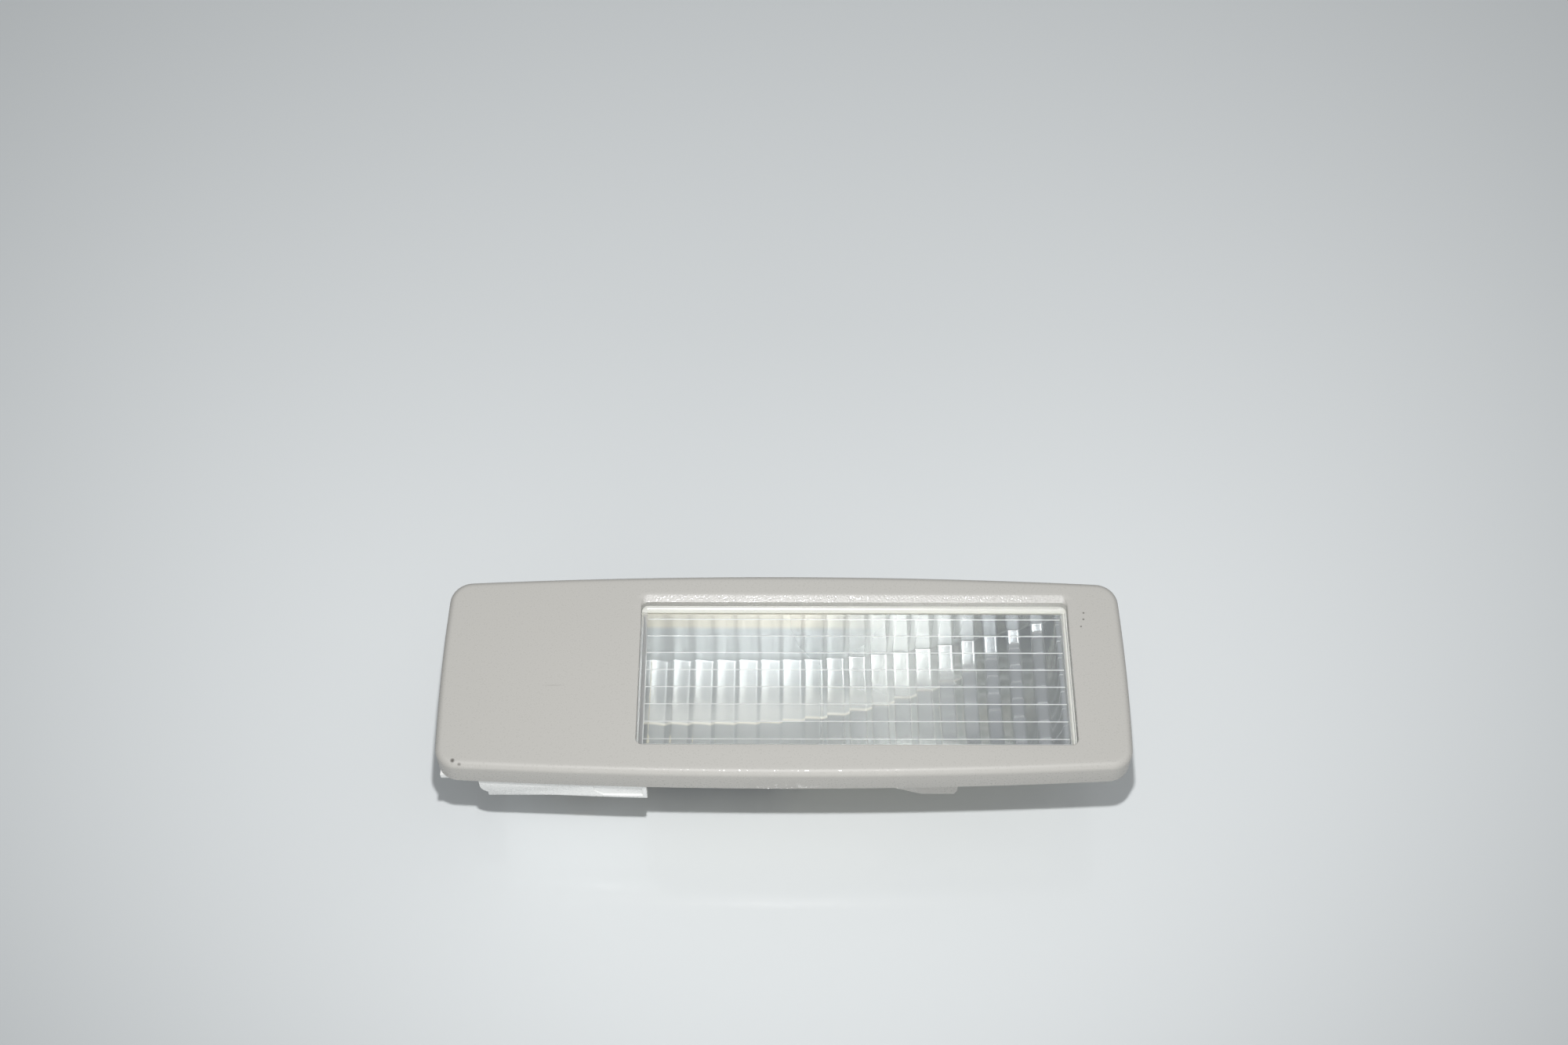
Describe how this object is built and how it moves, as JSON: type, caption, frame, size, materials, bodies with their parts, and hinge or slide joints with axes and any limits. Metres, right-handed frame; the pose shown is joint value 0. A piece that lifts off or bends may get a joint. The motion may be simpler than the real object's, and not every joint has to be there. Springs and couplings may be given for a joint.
{
  "type": "car interior light",
  "caption": "Oblong grey interior light with a clear ribbed lens over a stepped mirror reflector and a white lamp housing behind a blank end.",
  "frame": {"origin": "middle of the lamp's outline, on the table it lies on: the underside of the connector", "axes": "+X along the lamp towards the lens end, +Y towards the rear edge of the picture, +Z out of the lamp's face"},
  "size_m": [0.155, 0.0514, 0.038],
  "materials": {
    "grey_plastic": "fine satin grain, warm light grey",
    "clear_plastic": "clear moulded plastic, polished, finely grooved at the back",
    "mirror_coat": "bright metal coat on moulded plastic",
    "white_plastic": "white, lightly textured",
    "dark_plastic": "dark grey, satin",
    "tin_plate": "tinned steel sheet",
    "bulb_glass": "clear glass",
    "tungsten": "dull wire",
    "steel": "plain spring steel",
    "contact_brass": "plain stamped brass"
  },
  "bodies": {
    "root": {"bezel": "grey_plastic", "lens": "clear_plastic", "reflector": "mirror_coat", "housing": "white_plastic", "socket": "dark_plastic", "heat_shield": "tin_plate", "bulb_glass": "bulb_glass", "bulb_cap_front": "tin_plate", "bulb_cap_rear": "tin_plate", "bulb_filament": "tungsten", "bulb_lead_front": "steel", "bulb_lead_rear": "steel", "contact_front": "contact_brass", "contact_rear": "contact_brass", "busbar_feed": "contact_brass", "busbar_ground": "contact_brass", "contact_rivets": "steel", "housing_screws": "steel", "retaining_spring": "steel", "spring_rivet": "steel"}
  },
  "joints": []
}
